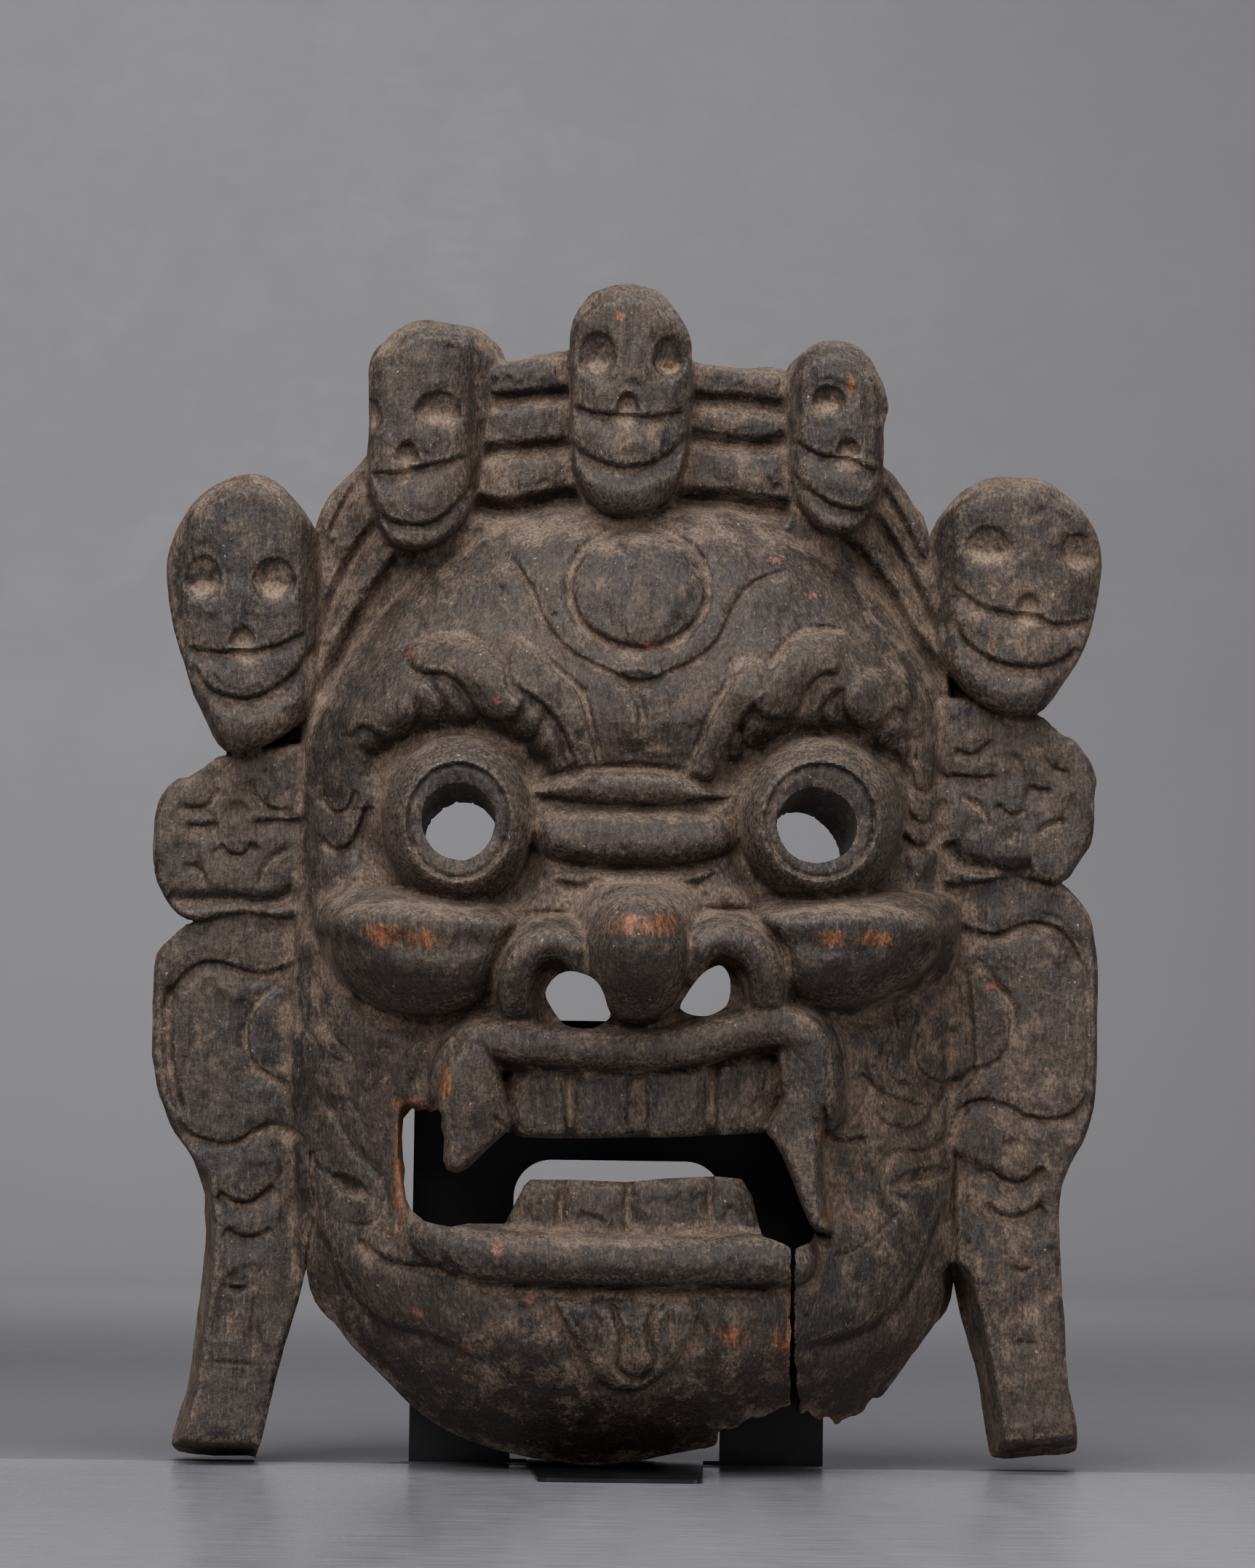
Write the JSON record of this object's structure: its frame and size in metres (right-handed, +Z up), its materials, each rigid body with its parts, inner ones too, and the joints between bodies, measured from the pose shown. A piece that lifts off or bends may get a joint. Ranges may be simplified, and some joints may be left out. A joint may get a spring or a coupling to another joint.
{
  "type": "carved wooden mask on stand",
  "caption": "Hollow carved wooden dance mask of a wrathful deity with a crown of skulls, on a bent sheet stand with a window and a foot.",
  "frame": {"origin": "bottom centre of the mask and its stand, on the surface they stand on", "axes": "+Z up, the face looks towards -Y, +X to the viewer's right"},
  "size_m": [0.3552, 0.1516, 0.4378],
  "materials": {
    "mask_wood": "worn dark patina",
    "stand_steel": "gloss black"
  },
  "bodies": {
    "root": {"mask": "mask_wood", "display_stand": "stand_steel"}
  },
  "joints": []
}
